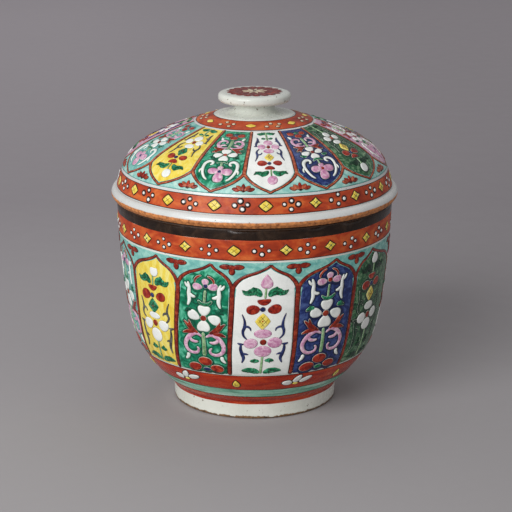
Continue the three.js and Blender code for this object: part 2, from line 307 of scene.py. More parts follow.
def stroke(coat, patch, path, widths, top, base, grow=0, plain=False):
    """A brush stroke of enamel along a path, domed across and rounded at its ends. Its widths,
    given at the points of the path, are true ones, and it can be grown all round. A plain one has
    fewer faces, for what lies under another."""
    per_span = 12
    dense = smooth(path, per_span)
    widths = np.broadcast_to(widths, len(path)) * patch.thin
    widths = np.interp(np.arange(len(dense)) / per_span, np.arange(len(path)), widths)
    a, s = patch.place(dense[:, 0], dense[:, 1])
    r = patch.surface.radius(s)
    round_run = np.concatenate([[0], np.cumsum(np.diff(a) * (r[1:] + r[:-1]) / 2)])
    run = lengths(np.stack([round_run, s], -1))
    total = run[-1]
    half_start, half_end = widths[0] / 2 + grow, widths[-1] / 2 + grow
    ends = np.array([0, 0.12, 0.4])
    middle = np.linspace(0, total, max(4, int(total / STROKE_STEP)))
    middle = middle[(middle > half_start * 0.6) & (middle < total - half_end * 0.6)]
    t = np.unique(np.concatenate([-grow + ends * half_start, middle, total + grow - ends * half_end]))
    near = np.minimum((t + grow) / half_start, (total + grow - t) / half_end)
    taper = np.sqrt(np.clip(1 - (1 - np.clip(near, 0, 1)) ** 2, 0.004, 1))
    half = (np.interp(t, run, widths) / 2 + grow) * taper
    along = np.clip(t, 0, total)
    mid_a, mid_s, radius = (np.interp(along, run, v) for v in (a, s, r))
    tangent_a, tangent_s = (np.interp(along, run, np.gradient(v, run)) for v in (round_run, s))
    size = np.hypot(tangent_a, tangent_s)
    tangent_a, tangent_s = tangent_a / size, tangent_s / size
    mid_a = mid_a + (t - along) * tangent_a / radius
    mid_s = mid_s + (t - along) * tangent_s
    across, up, under = FLAT if plain else DOMED
    offset = half[:, None] * across
    rise = (top - base) * np.clip(taper, 0.15, 1)[:, None]
    lift = base + rise * up - SINK * under
    points = patch.surface.at(mid_a[:, None] - tangent_s[:, None] * offset / radius[:, None],
                              mid_s[:, None] + tangent_a[:, None] * offset, lift).reshape(-1, 3)
    columns, rows = len(across), len(t)
    caps = [tuple(range(columns)), tuple((rows - 1) * columns + k for k in range(columns - 1, -1, -1))]
    coat.add(points, loop_faces(rows, columns) + caps)


# A dab's rings, from its outline inwards: the share of the outline, and of the height.
DOME_RINGS = [(1, 0), (0.94, 0.55), (0.8, 0.88), (0.5, 0.97)]
PLAIN_RINGS = [(1, 0), (0.9, 1)]


def dab(coat, patch, centre, shape, top=DAB, base=GROUND, turn=0, size=1, grow=0, dish=0,
        plain=False):
    """A dab of enamel: a domed island, whose outline is drawn round its centre. It can be grown
    all round, or dished in its middle."""
    shape = np.array(shape, float) * size
    if grow:
        radii = np.linalg.norm(shape, axis=1, keepdims=True)
        shape = shape * (radii + grow) / np.maximum(radii, 0.05)
    c, s = cos(turn), sin(turn)
    shape = shape @ np.array([[c, s], [-s, c]])
    rise = top - base
    rings = [(1, -SINK)] + [(k, rise * up * (1 - dish * (1 - k))) for k, up in
                            (PLAIN_RINGS if plain else DOME_RINGS)]
    layers = [patch.on(centre[0] + shape[:, 0] * k, centre[1] + shape[:, 1] * k,
                       np.full(len(shape), base + lift)) for k, lift in rings]
    middle = patch.on([centre[0]], [centre[1]], [base + rise * (1 - dish)])
    points = np.vstack([*layers, middle])
    n, last = len(shape), len(points) - 1
    top_row = (len(rings) - 1) * n
    cap = [(top_row + j, last, top_row + (j + 1) % n) for j in range(n)]
    coat.add(points, loop_faces(len(rings), n) + cap + [tuple(range(n))])


# Outlines of dabs.

def oval(a, b, n=24):
    t = np.arange(n) * TAU / n
    return np.stack([a * np.cos(t), b * np.sin(t)], -1)


def petal(a, b, egg=0.22, notch=0, n=28):
    """A petal with its broad end towards +x, and a notch there if asked."""
    t = np.arange(n) * TAU / n
    x, y = a * np.cos(t), b * np.sin(t) * (1 + egg * np.cos(t))
    dent = notch * a * np.exp(-(np.minimum(t, TAU - t) / 0.5) ** 2)
    return np.stack([x - dent, y], -1)


def drop(a, b, n=26):
    """A teardrop with its point towards +y."""
    t = np.arange(n) * TAU / n
    return np.stack([1.25 * a * np.sin(t) * (1 - 0.8 * ((1 + np.cos(t)) / 2) ** 1.5), b * np.cos(t)], -1)


def rhomb(a, b, power=1.1, n=24):
    """A rhombus, with straighter sides the nearer the power is to 1, and hollow ones below it."""
    t = np.arange(n) * TAU / n
    c, s = np.cos(t), np.sin(t)
    return np.stack([a * np.sign(c) * abs(c) ** (2 / power), b * np.sign(s) * abs(s) ** (2 / power)], -1)


def half_round(a, b, n=24):
    """A half-round petal, flat towards +y."""
    t = np.arange(n) * TAU / n
    y = b * np.sin(t)
    return np.stack([a * np.cos(t) * (1 + 0.25 * np.sin(t)), np.minimum(y, 0.62 * b)], -1)


# Materials.

def colour(code, gain=1):
    """A shader's linear colour from its hex code, made darker or lighter by a gain."""
    levels = (min(255, int(code[i:i + 2], 16) * gain) for i in (1, 3, 5))
    return [c / 255 / 12.92 if c <= 10 else ((c / 255 + 0.055) / 1.055) ** 2.4 for c in levels] + [1]


# The sockets of a mix node that carry colours, by number.
MIX_A, MIX_B, MIX_RESULT = 6, 7, 2


class Nodes:
    """A material's node tree, with short calls for the nodes that enamel and glaze need."""

    def __init__(self, name):
        self.material = bpy.data.materials.new(name)
        self.material.use_nodes = True
        self.tree = self.material.node_tree
        self.shader = self.tree.nodes["Principled BSDF"]
        self.place = self.node("ShaderNodeTexCoord").outputs["Object"]

    def feed(self, node, inputs):
        """Sets each input to a value, or joins it to another node's output."""
        for key, value in inputs.items():
            if isinstance(value, bpy.types.NodeSocket):
                self.tree.links.new(value, node.inputs[key])
            else:
                node.inputs[key].default_value = value

    def node(self, kind, **settings):
        node = self.tree.nodes.new(kind)
        for key, value in settings.items():
            setattr(node, key, value)
        return node

    def output(self, kind, output, inputs, **settings):
        node = self.node(kind, **settings)
        self.feed(node, inputs)
        return node.outputs[output]

    def noise(self, scale, detail=3, rough=0.55, stretch=None, warp=0):
        place = self.place
        if stretch:
            place = self.output("ShaderNodeMapping", "Vector", {"Vector": place, "Scale": stretch})
        return self.output("ShaderNodeTexNoise", "Fac", {
            "Vector": place, "Scale": scale, "Detail": detail, "Roughness": rough, "Distortion": warp})

    def ramp(self, value, *stops):
        node = self.node("ShaderNodeValToRGB")
        elements = node.color_ramp.elements
        while len(elements) < len(stops):
            elements.new(0.5)
        for element, (at, shade) in zip(elements, stops):
            element.position, element.color = at, shade
        self.feed(node, {"Fac": value})
        return node.outputs["Color"]

    def range(self, value, low, high, to_low=0, to_high=1):
        return self.output("ShaderNodeMapRange", "Result", {
            "Value": value, "From Min": low, "From Max": high, "To Min": to_low, "To Max": to_high},
            interpolation_type="SMOOTHSTEP")

    def math(self, kind, a, b):
        return self.output("ShaderNodeMath", "Value", {0: a, 1: b}, operation=kind)

    def blend(self, factor, a, b):
        return self.output("ShaderNodeMix", MIX_RESULT, {0: factor, MIX_A: a, MIX_B: b}, data_type="RGBA")

    def coordinate(self, axis):
        return self.output("ShaderNodeSeparateXYZ", axis, {"Vector": self.place})

    def finish(self, tone, rough, bump=None, strength=0, depth=0):
        self.feed(self.shader, {"Base Color": tone, "Roughness": rough})
        if bump is not None:
            self.feed(self.shader, {"Normal": self.output("ShaderNodeBump", "Normal", {
                "Strength": strength, "Distance": depth, "Height": bump})})
        return self.material


def enamel(name, shades, rough=(0.17, 0.33), scale=170, stretch=None, specks=0.35, warp=0.6, detail=4):
    """Fired enamel: it runs from thin to pooled, is pitted here and there, and lies in ripples."""
    thin, body, pooled = shades.split()
    n = Nodes(name)
    n.shader.inputs["Specular IOR Level"].default_value = 0.32
    drift = n.noise(scale, detail, 0.6, stretch, warp)
    tone = n.ramp(drift, (0.32, colour(thin)), (0.5, colour(body)), (0.68, colour(pooled)))
    grain = n.noise(1400, 2, 0.5)
    tone = n.blend(n.range(grain, 0.6, 0.78, 0, specks), tone, colour(pooled, 0.55))
    gloss = n.range(n.noise(330, 3), 0.3, 0.7, *rough)
    ripple = n.math("ADD", n.noise(420, 3, 0.5, stretch), n.math("MULTIPLY", grain, 0.25))
    return n.finish(tone, gloss, ripple, 0.35, 0.00025)


def bare_edge(low, high, tone, deep, ragged):
    """Bare clay between two heights, with a ragged edge and dark burnt spots."""
    def wear(n, glazed, gloss):
        z = n.math("ADD", n.coordinate("Z"), n.math("MULTIPLY", n.noise(130, 5, 0.75), ragged * MM))
        above = n.range(z, (low - 0.3) * MM, (low + 0.3) * MM)
        below = n.range(z, (high - 0.25) * MM, (high + 0.35) * MM, 1, 0)
        bare = n.math("MULTIPLY", above, below)
        clay = n.ramp(n.noise(420, 5, 0.65), (0.3, colour(deep)), (0.5, colour(tone)),
                      (0.72, colour(tone, 1.25)))
        return n.blend(bare, glazed, clay), n.math("ADD", gloss, n.math("MULTIPLY", bare, 0.35))
    return wear


def glaze(name, base, shade, wear=None, flecks=0.72):
    """White porcelain under a clear glaze: faintly clouded, with iron specks and pale stains, and
    brown where wear or the kiln left an edge bare."""
    n = Nodes(name)
    tone = n.ramp(n.noise(28, 4, 0.55, warp=0.4), (0.3, colour(shade)), (0.62, colour(base)))
    iron = n.range(n.noise(480, 2, 0.4), flecks, flecks + 0.05, 0, 0.8)
    tone = n.blend(iron, tone, colour("#5c4832"))
    stain = n.range(n.noise(95, 3, 0.6), 0.6, 0.9, 0, 0.3)
    tone = n.blend(stain, tone, colour("#c4b296"))
    gloss = n.range(n.noise(210, 3), 0.3, 0.7, 0.2, 0.32)
    if wear:
        tone, gloss = wear(n, tone, gloss)
    return n.finish(tone, gloss, n.noise(160, 2, 0.4), 0.15, 0.0003)


FOOT_GLAZE = glaze("porcelain_foot", "#eaece2", "#daded2",
                   bare_edge(-2, 4.3, "#7a5a3a", "#281a12", 5), 0.7)
BOWL_GLAZE = glaze("porcelain_bowl", "#e4e7df", "#d6dbd2",
                   bare_edge(BOWL_LIP - 1.6, BOWL_LIP + 2, "#3c281a", "#22140c", 0.4))
LID_GLAZE = glaze("porcelain_lid", "#dee0de", "#d0d4d0",
                  bare_edge(LID_SEAT - 2, LID_SEAT + 5.2, "#c68048", "#804420", 1.4))
KNOB_GLAZE = glaze("porcelain_knob", "#e0e3da", "#ced5ce", flecks=0.68)
BARE_CLAY = enamel("bare_clay", "#c49262 #b27c4e #966038", (0.6, 0.8), 120)

# How a brush stretches the enamel's mottle round the piece and up it.
BRUSHED, DABBED, DRAWN_DOWN, WIPED = (0.35, 0.35, 2.2), (0.6, 0.6, 1.3), (1.6, 1.6, 0.5), (1, 1, 1.4)

# The material and slot of each look, and the coats made so far.
LOOKS, coats = {}, {}


def look(name, shades, slot=None, **how):
    """One enamel: its thin, middle and pooled colour, and the slot it fills if not its own."""
    LOOKS[name] = enamel("enamel_" + name, shades, **how), slot or "enamel_" + name


look("iron_red", "#da7034 #ba441c #882812", rough=(0.38, 0.52), scale=90, stretch=DABBED)
look("deep_red", "#ce4e1e #b8300e #8e1c0a", scale=120, stretch=BRUSHED)
look("line_red", "#b04c2c #862618 #5c1410", "enamel_deep_red", scale=260)
look("rust", "#d0805e #ae5234 #7a2e1e", "enamel_iron_red", scale=330)
look("dark_brown", "#38281c #26180e #1a0e08", rough=(0.16, 0.3), scale=120)
look("turquoise", "#a6dacc #80c2b8 #62aaa4", scale=170, stretch=WIPED)
look("pale_turquoise", "#c4e4d8 #98cec4 #74b6b0", "enamel_turquoise", scale=170, stretch=WIPED)
look("sea_green", "#d4f0e0 #92d0b6 #1c765a", scale=60, stretch=(0.4, 0.4, 4))
look("white", "#f6f8f4 #f0f3ee #e0e5e0", scale=80, specks=0.2)
look("blue", "#4e6498 #263872 #142050", scale=200, warp=1.2)
look("dark_green", "#86a880 #2e6840 #103628", scale=200, warp=1.8)
look("pink", "#eed4de #d6a0be #b8709a", scale=300, warp=1)
look("yellow", "#f6ea92 #f2dc5c #e4c03a", scale=150, stretch=DRAWN_DOWN)
look("green", "#6eccaa #0a8862 #024834", scale=150, warp=1, detail=2)
look("leaf", "#54b284 #0e744c #043824", "enamel_dark_green", scale=300, warp=1.4)
look("stem", "#b0cea0 #88b27e #54804e", "enamel_green", scale=320)
look("scarlet", "#c44c2c #9c2616 #5c0e0c", "enamel_iron_red", scale=260, warp=0.8)
look("maroon", "#b2462a #882416 #5c1210", "enamel_deep_red", scale=300)
look("rosette_red", "#923226 #701c18 #541010", "enamel_deep_red", rough=(0.3, 0.5), scale=260)
look("cobalt", "#3c4c7c #243060 #141c42", "enamel_blue", scale=320)
look("grey", "#767a70 #545654 #36363c", "enamel_dark_brown", scale=320)
look("cream", "#e2d8bc #d4c8aa #b8a47e", "porcelain", scale=260, specks=0.5)
look("bone", "#e0e8d8 #d0dcc8 #b4c4ac", "porcelain", scale=300)
look("ink", "#542a1e #3a1c14 #22120c", "enamel_dark_brown", scale=300)
look("shade", "#968078 #745c58 #58403e", "enamel_dark_brown", scale=300)
look("green_pool", "#107c5a #045c42 #023e2e", "enamel_green", scale=200)
look("dark_pool", "#285438 #143826 #0a2418", "enamel_dark_green", scale=200)
look("blue_pool", "#1e2e5e #14204a #0e1638", "enamel_blue", scale=200)
look("sea_pool", "#60aaa0 #4c948e #367876", "enamel_turquoise", scale=200)


def coat(body, part, look, *replaces):
    """The coat of one colour for one part of a body, made when it is first asked for."""
    name = f"{body}_{part}_{look}"
    if name not in coats:
        material, slot = LOOKS[look]
        coats[name] = Coat(name, body, slot, material, replaces)
    return coats[name]


# Porcelain.

def arc(centre_r, centre_z, reach_r, reach_z, start, end, n=8):
    """Points of an elliptic arc between two angles in degrees."""
    t = np.radians(np.linspace(start, end, n))
    return [(centre_r + reach_r * cos(k), centre_z + reach_z * sin(k)) for k in t]


def inner_wall(surface, wall, low, high, spacing=3):
    """The inside of a wall of even thickness under a turned surface."""
    s = np.append(np.arange(low, high, spacing), high)
    return list(zip(*surface.profile(s, -wall)))


def outer_wall(surface, spacing=1.5):
    s = np.append(np.arange(0, surface.length[-1], spacing), surface.length[-1])
    return list(zip(*surface.profile(s)))


def thrown(name, body, slot, material, profile, node, steps=ROUND_STEPS):
    lathe(Coat(name, body, slot, material, (node,)), profile, steps)


def make_foot():
    inner = FOOT_RADIUS - FOOT_WALL
    tread = 1.2
    thrown("foot", "jar", "porcelain", FOOT_GLAZE, [
        (inner, FOOT_TOP + 0.5), (inner - 0.2, FOOT_TOP / 2),
        *arc(inner + tread, tread, tread, tread, 180, 270, 5),
        *arc(FOOT_RADIUS - 1.9, tread, 1.4, tread, 270, 360, 6),
        (FOOT_RADIUS - 0.4, 3.5), (FOOT_RADIUS - 0.2, 6.5),
        *foot_flare, (BOWL_BASE_RADIUS, BOWL_BASE), (BOWL_BASE_RADIUS - 0.2, FOOT_TOP + 0.5),
    ], "foot_ring")


def make_bowl():
    inside = inner_wall(BOWL, BOWL_WALL, 17, BOWL.length[-1])[::-1]
    floor_radius, floor_height = BOWL_BASE_RADIUS * 0.8, BOWL_BASE + FLOOR_THICKNESS
    curve = smooth([inside[-1], (floor_radius + 6, floor_height + 1.2), (floor_radius, floor_height)], 5)
    lip_height = BOWL_LIP - LIP_ROUND
    thrown("bowl_body", "jar", "porcelain", BOWL_GLAZE, [
        (0, BOWL_BASE), (BOWL_BASE_RADIUS / 2, BOWL_BASE), (FOOT_RADIUS - FOOT_WALL, BOWL_BASE),
        *outer_wall(BOWL),
        *arc(MOUTH_RADIUS - LIP_ROUND, lip_height, LIP_ROUND, LIP_ROUND, 10, 90, 6),
        *arc(MOUTH_RADIUS - BOWL_WALL + LIP_ROUND, lip_height, LIP_ROUND, LIP_ROUND, 90, 170, 6),
        *inside, *curve[1:].tolist(), (floor_radius * 0.6, floor_height), (0, floor_height),
    ], "bowl")


def make_lid():
    inside = inner_wall(DOME, LID_WALL, 0, 78)
    ring_inner = RING_RADIUS - RING_WALL
    throat = smooth([inside[-1], (ring_inner + 0.4, LID_SEAT + 8), (ring_inner, LID_SEAT + 3.4),
                     (ring_inner, LID_SEAT)], 5)
    bulge, reach = LID_SEAT + FLANGE_BULGE, FLANGE_RADIUS - DOME_RADIUS
    thrown("lid_body", "lid", "porcelain", LID_GLAZE, [
        (0, CROWN - LID_WALL), (12, CROWN - LID_WALL), *inside, *throat[1:].tolist(),
        (RING_RADIUS + 2, LID_SEAT), (DOME_RADIUS + 0.6, LID_SEAT + 0.1),
        (DOME_RADIUS + reach * 0.6, LID_SEAT + 0.55),
        *arc(DOME_RADIUS, bulge, reach, FLANGE_BULGE * 0.78, -48, 0, 8),
        *arc(DOME_RADIUS, bulge, reach, FLANGE_HEIGHT - FLANGE_BULGE, 0, 88, 12)[1:],
        *outer_wall(DOME)[::-1], (12, CROWN), (0, CROWN),
    ], "lid_shell")


def make_locating_ring():
    inner, rounding = RING_RADIUS - RING_WALL, 0.9
    thrown("lid_ring", "lid", "unglazed_porcelain", BARE_CLAY, [
        (inner, LID_SEAT + 0.2),
        *arc(inner + rounding, RING_LOW + rounding, rounding, rounding, 180, 270, 5),
        *arc(RING_RADIUS - rounding, RING_LOW + rounding, rounding, rounding, 270, 360, 5),
        (RING_RADIUS, LID_SEAT + 0.2),
    ], "lid_locating_ring")


def make_knob():
    """The knob: a skirt on the crown, a waisted neck and a thick disc with a flat top."""
    side = smooth([
        (KNOB_FOOT_RADIUS, 0), (KNOB_FOOT_RADIUS - 2.4, 0.65), (21, 1.15), (17.4, 1.9), (15.2, 3),
        (NECK_RADIUS, 4.8), (14.4, 6.4), (16.2, 7.3), (20, 7.8), (23.3, 8.5), (24.9, 9.9),
        (DISC_RADIUS, 11.8), (24.9, 13.3), (23.8, 14.4), (21.8, 14.9), (DISC_FLAT_RADIUS, 15)], 6)
    height, base = KNOB_TOP - KNOB_BASE, CROWN - 0.1
    wall = [(min(r, KNOB_FOOT_RADIUS), KNOB_BASE + min(max(z, 0), height)) for r, z in side]
    thrown("knob", "lid", "porcelain", KNOB_GLAZE,
           [(0, base), (KNOB_FOOT_RADIUS, base), *wall, (8, KNOB_TOP), (0, KNOB_TOP)], "lid_knob", 160)


make_foot()
make_bowl()
make_lid()
make_locating_ring()
make_knob()


# Bands and their borders.

def line(body, surface, s, look="ink"):
    """A fine line right round."""
    half = FINE_LINE / 2
    band(coat(body, "edges", look), surface, s - half, s + half, GROUND + 0.06, 0.14)


def edged_band(body, part, look, low, high, *edges):
    """A coat right round, from low to high along the outline, with fine dark lines at its edges."""
    prefix, surface = ("bowl", BOWL) if body == "jar" else ("lid", DOME)
    band(coat(body, part, look, f"{prefix}_{part}"), surface, low, high)
    for s in edges:
        line(body, surface, s)


edged_band("jar", "foot_line", "deep_red", -3.1, 6.4)
edged_band("jar", "green_band", "sea_green", 7, 16.5, 6.8)
edged_band("jar", "lower_band", "deep_red", 17.1, 32.7, 16.9, 32.9)
edged_band("jar", "upper_band", "iron_red", 119.8, 133.5, 119.7)
edged_band("jar", "mouth_band", "dark_brown", 133.4, 140.9)
edged_band("lid", "crown_band", "iron_red", 0.9, 13.4, 0.9, 13.5)
edged_band("lid", "rim_band", "iron_red", 77.9, 88.7, 77.9, 88.8)
line("lid", DOME, 75.6, "sea_pool")


def outlined(body, look, patch, centre, shape, grow=0.5, turn=0):
    """A dab in a thicker outline of ink."""
    dab(coat(body, "dabs", look), patch, centre, shape, turn=turn)
    dab(coat(body, "dabs", "ink"), patch, centre, shape, OUTLINE + 0.04, turn=turn, grow=grow, plain=True)


def ink_line(body, patch, path, width):
    """A fine dark line on top of a dab."""
    stroke(coat(body, "dabs", "ink"), patch, path, width, VEIN, DAB - 0.1)


def star(body, surface, azimuth, s):
    """A yellow lozenge, plain or hollow-sided, with fine lines that part it in four."""
    patch = Patch(surface, azimuth, s)
    a, b = 4.3, 3.4
    turn = jitter(0.12)
    hollow = rng.random() < (0.7 if body == "jar" else 0.2)
    outlined(body, "yellow", patch, (0, 0), rhomb(a, b, 0.84 if hollow else 1.12), 0.85, turn)
    for side in (-1, 1):
        end = (0.42 * a, side * 0.42 * b)
        ink_line(body, patch, [(-end[0], -end[1]), (0.1, 0.1), end], 0.32)
    if hollow:
        dab(coat(body, "dabs", "leaf"), patch, (jitter(0.8), jitter(0.5)), oval(0.8, 0.5, 12), VEIN + 0.05)


def dots(body, surface, azimuth, s):
    """Four white dots in a lozenge, each in its dark ring."""
    patch = Patch(surface, azimuth, s)
    ring = 0.75 if body == "jar" else 1.05
    for u, v in ((-4.9, 0), (4.9, 0), (0.3, 2.9), (0, -2.9)):
        r = 1.02 * (1 + jitter(0.2))
        outlined(body, "white", patch, (u + jitter(0.8), v + jitter(0.5)), oval(r * 1.1, r, 14),
                 ring + jitter(0.2), jitter(0.4))


def ring_of(seen, count):
    """The azimuths that are seen, in degrees, and the rest of the count evenly round the far side,
    each with the middle of the way to the next."""
    gap = (seen[0] + 360 - seen[-1]) / (count - len(seen) + 1)
    turns = seen + [seen[-1] + gap * (i + 1) for i in range(count - len(seen))]
    return [(here, (here + after) / 2) for here, after in zip(turns, turns[1:] + [turns[0] + 360])]


def border(body, surface, places, s):
    """Lozenges, with a cluster of dots between each two."""
    for here, between in places:
        star(body, surface, radians(here), s + jitter(0.4))
        dots(body, surface, radians(between + jitter(0.6)), s + jitter(0.4))


def crown_border(places):
    """Small lozenges on the crown band, with a loose cluster of pale dots between each two."""
    for here, between in places:
        outlined("lid", "yellow", Patch(DOME, radians(here), 7.6), (0, 0), rhomb(3.6, 2.2, 1.3), 0.3)
        patch = Patch(DOME, radians(between + jitter(1)), 7.4)
        for u, v in ((-4.9, 1.2), (-1.4, -2.4), (2.4, 2.4), (4.6, -0.9)):
            outlined("lid", "cream", patch, (u + jitter(0.3), v + jitter(0.3)), oval(1.3, 1.05, 14))


def spray(azimuth, s=23.6):
    """Three white petals on a small yellow heart."""
    patch = Patch(BOWL, radians(azimuth), s)
    for u, v, angle, long, wide in ((-6.2, 0.8, pi - 0.1, 3.6, 2.7), (0.6, 4.4, 1.1, 4.2, 2.3),
                                    (6.8, 3, 0.42, 4.9, 2.3)):
        outlined("jar", "white", patch, (u, v), petal(long, wide, -0.15), 0.65, angle + jitter(0.1))
    outlined("jar", "yellow", patch, (0, -0.6), oval(2, 1.1, 18), 0.35)


def teardrop(azimuth, s=24.4):
    """A yellow teardrop with a dark loop in it."""
    patch = Patch(BOWL, radians(azimuth), s)
    outlined("jar", "yellow", patch, (0, 0), drop(2.5, 3.9), 0.8)
    ink_line("jar", patch, [(-0.5, 1.3), (-0.9, -0.6), (0.1, -1.8), (0.9, -0.4)], 0.42)


# How many marks go round each border.
STARS, CROWN_STARS, SPRAYS = 18, 7, 6
border("jar", BOWL, ring_of([-52.8, -32.8, -12.3, 8.2, 27.2, 47.2], STARS), s=126.4)
border("lid", DOME, ring_of([-65.8, -44.3, -23.3, -2.8, 17.7, 37.7, 57.7], STARS), s=83.2)
crown_border(ring_of([-67.3, -11.3, 38.7], CROWN_STARS))
for i in range(SPRAYS):
    spray(-43 + 360 / SPRAYS * i + jitter(1.5))
    teardrop(-14.8 + 360 / SPRAYS * i + jitter(1.5))


# Arcades. In a panel's drawing v starts at its foot, and u is a length at a radius of 94 mm.

DRAWN_RADIUS = 94
HALF_PANEL = DRAWN_RADIUS * PANEL_TURN / 2

# An arch's shares of the half width, from its spring up to its tip, and how high each is in v.
BODY_RISE = [(1, 0), (0.97, 4.6), (0.89, 7.8), (0.77, 10.6), (0.61, 12.9), (0.41, 14.7), (0.22, 16.6),
             (0.09, 18.3), (0, 19.7)]
LID_RISE = [(1, 0), (0.93, 3), (0.83, 5.8), (0.70, 9), (0.505, 12.4), (0.31, 15.2), (0.12, 17.3),
            (0, 18.8)]

# How far the posts that the photograph shows stand off their even places, at foot and spring.
BODY_SEEN = {12: (-6, -1.5), 13: (-7.9, 2), 0: (-5.4, -0.8), 1: (0.2, 1.2), 2: (3.4, 5.6),
             3: (19, 17), 4: (13, 12), 5: (8, 7), 6: (3, 3)}
LID_SEEN = {12: (5.5, 2), 13: (5, 4), 0: (5, 1.6), 1: (4.6, -1.6), 2: (4.5, -2.6), 3: (4.5, -1)}
# How far the tips of the arches it shows stand off their panels' middles.
BODY_TIPS = {12: 5.5, 13: 5.8, 0: 3.5, 1: 8.5}
LID_TIPS = {0: -1, 1: -3.4, 2: -1.5}
# Motifs that the photograph shows higher or lower than their drawing: heights there, and in the panel.
BODY_HEIGHTS = {12: ((0, 13, 27, 43, 52, 57, 63, 72), (0, 13, 32, 44.5, 52.8, 58.2, 62.6, 73)),
                13: ((0, 80), (0, 77.3)),
                2: ((0, 13, 16, 38, 75), (0, 13, 23, 45, 79))}
LID_HEIGHTS = {index: ((0, 45, 69, 80), (4.6, 40.6, 63, 75)) for index in range(1, PANELS, 2)}

# Each arcade with where it starts, the length of a unit of v, how much thinner its strokes are, where
# its arches spring, the widths of its posts and arches, and how its motifs follow the panels.
BODY_ARCADE = SimpleNamespace(
    body="jar", prefix="bowl", surface=BOWL, foot=33.9, per_v=1, thin=1, spring=62.4,
    rise=BODY_RISE, post=(2.4, 3.5), arch=1.9, lean=2.3, motif=1, follow=0.5,
    seen=BODY_SEEN, tips=BODY_TIPS, heights=BODY_HEIGHTS, line="line_red", field="turquoise")
LID_ARCADE = SimpleNamespace(
    body="lid", prefix="lid", surface=DOME, foot=15.2, per_v=0.7155, thin=0.72, spring=64.2,
    rise=LID_RISE, post=(1.5, 2.3), arch=1.5, lean=0, motif=0.9, follow=1,
    seen=LID_SEEN, tips=LID_TIPS, heights=LID_HEIGHTS, line="rust", field="pale_turquoise")


class Panel:
    """One arched panel. Its side lines are shared with its neighbours, and they and its tip may
    stand off their even places."""

    def __init__(self, arcade, index, shifts):
        self.arcade, self.index = arcade, index
        self.shifts = {-1: shifts[index], 1: shifts[(index + 1) % PANELS]}
        self.lean = arcade.tips.get(index, arcade.lean) + jitter(0.6)
        self.azimuth = index * PANEL_TURN
        self.patch = Patch(arcade.surface, self.azimuth, arcade.foot, 1 / DRAWN_RADIUS, arcade.per_v)

    def motif_patch(self, middle):
        """Where the motif is drawn round its middle: it follows the panel's side lines, in part
        or fully."""
        arcade = self.arcade
        low, high = ((self.shifts[-1][k] + self.shifts[1][k]) / 2 * arcade.follow for k in (0, 1))
        slant = (high + arcade.lean / 3 - low) / arcade.spring
        room = min(1, 1 + (self.shifts[1][1] - self.shifts[-1][1]) / 2 / HALF_PANEL)
        per_u = arcade.motif * room / DRAWN_RADIUS
        return Patch(arcade.surface, self.azimuth + low / DRAWN_RADIUS + middle * per_u, arcade.foot, per_u,
                     arcade.per_v, slant, arcade.thin, arcade.heights.get(self.index))

    def side_line(self, side, v):
        """Where the middle of the red line at one side is, at heights v."""
        shares, rises = np.array(self.arcade.rise).T
        share = np.interp(v - self.arcade.spring, rises, shares)
        edge = side * HALF_PANEL + np.interp(v, [0, self.arcade.spring], self.shifts[side])
        return edge * share + self.lean * (1 - share)

    def opening(self, v, margin=0.42):
        """The left and right edge of the ground, at heights v."""
        arcade = self.arcade
        true_u = arcade.surface.radius(arcade.foot + v * arcade.per_v) / DRAWN_RADIUS
        post = np.interp(v, [0, arcade.spring], arcade.post)
        cut = np.where(v > arcade.spring + 4, arcade.arch, post) / 2 + margin
        edges = []
        for side in (-1, 1):
            middle = self.side_line(side, v)
            slope = np.gradient(middle, v) * true_u / arcade.per_v
            edges.append(middle - side * cut * np.sqrt(1 + slope**2) / true_u)
        centre = (edges[0] + edges[1]) / 2
        return np.minimum(edges[0], centre - 0.05), np.maximum(edges[1], centre + 0.05)


def panel_ground(panel, look):
    """The panel's ground inside its arch, thin at its edges."""
    arcade, number = panel.arcade, f"{panel.index + 1:02d}"
    tip = arcade.spring + arcade.rise[-1][1] - (0.6 * arcade.arch + 0.8) / arcade.per_v
    v = np.concatenate([np.linspace(0.3, 0.9, 3), np.linspace(1.6, arcade.spring, 30),
                        np.linspace(arcade.spring + 0.8, tip - 0.6, 26), np.linspace(tip - 0.35, tip, 3)])
    shares = np.array([0, 0.006, 0.02, 0.05, *np.linspace(0.12, 0.88, 11), 0.95, 0.98, 0.994, 1])
    left, right = panel.opening(v)
    u = left[:, None] + (right - left)[:, None] * shares
    height = v[:, None] + 0 * u
    edge = np.minimum(np.minimum(u - left[:, None], right[:, None] - u) * 0.8,
                      np.minimum(height - v[0], v[-1] - height))
    lift = GROUND * np.clip(edge / 0.5, 0, 1) ** 0.5 - 0.01
    top = panel.patch.on(u, height, lift)
    under = panel.patch.on(u, height, np.full_like(u, -SINK))
    rows, columns = u.shape
    n = 2 * columns
    faces = loop_faces(rows, n)
    for row in (0, rows - 1):
        for j in range(columns - 1):
            corners = (row * n + j, row * n + j + 1, row * n + n - 2 - j, row * n + n - 1 - j)
            faces.append(corners if row == 0 else corners[::-1])
    points = np.concatenate([top, under[:, ::-1]], axis=1).reshape(-1, 3)
    coat(arcade.body, "ground_" + number, look, f"{arcade.prefix}_panel_{number}").add(points, faces)


def red_line(arcade, patch, path, widths):
    """A line of the tracery: red on a slightly wider dark one."""
    path = [(u + jitter(0.15), v) for u, v in path]
    widths = [w * (1 + jitter(0.1)) for w in widths]
    replaced = arcade.prefix + "_tracery"
    stroke(coat(arcade.body, "tracery", arcade.line, replaced), patch, path, widths, LINE, GROUND - 0.1)
    stroke(coat(arcade.body, "tracery", "ink"), patch, path, widths, OUTLINE, GROUND - 0.14, 0.4, plain=True)


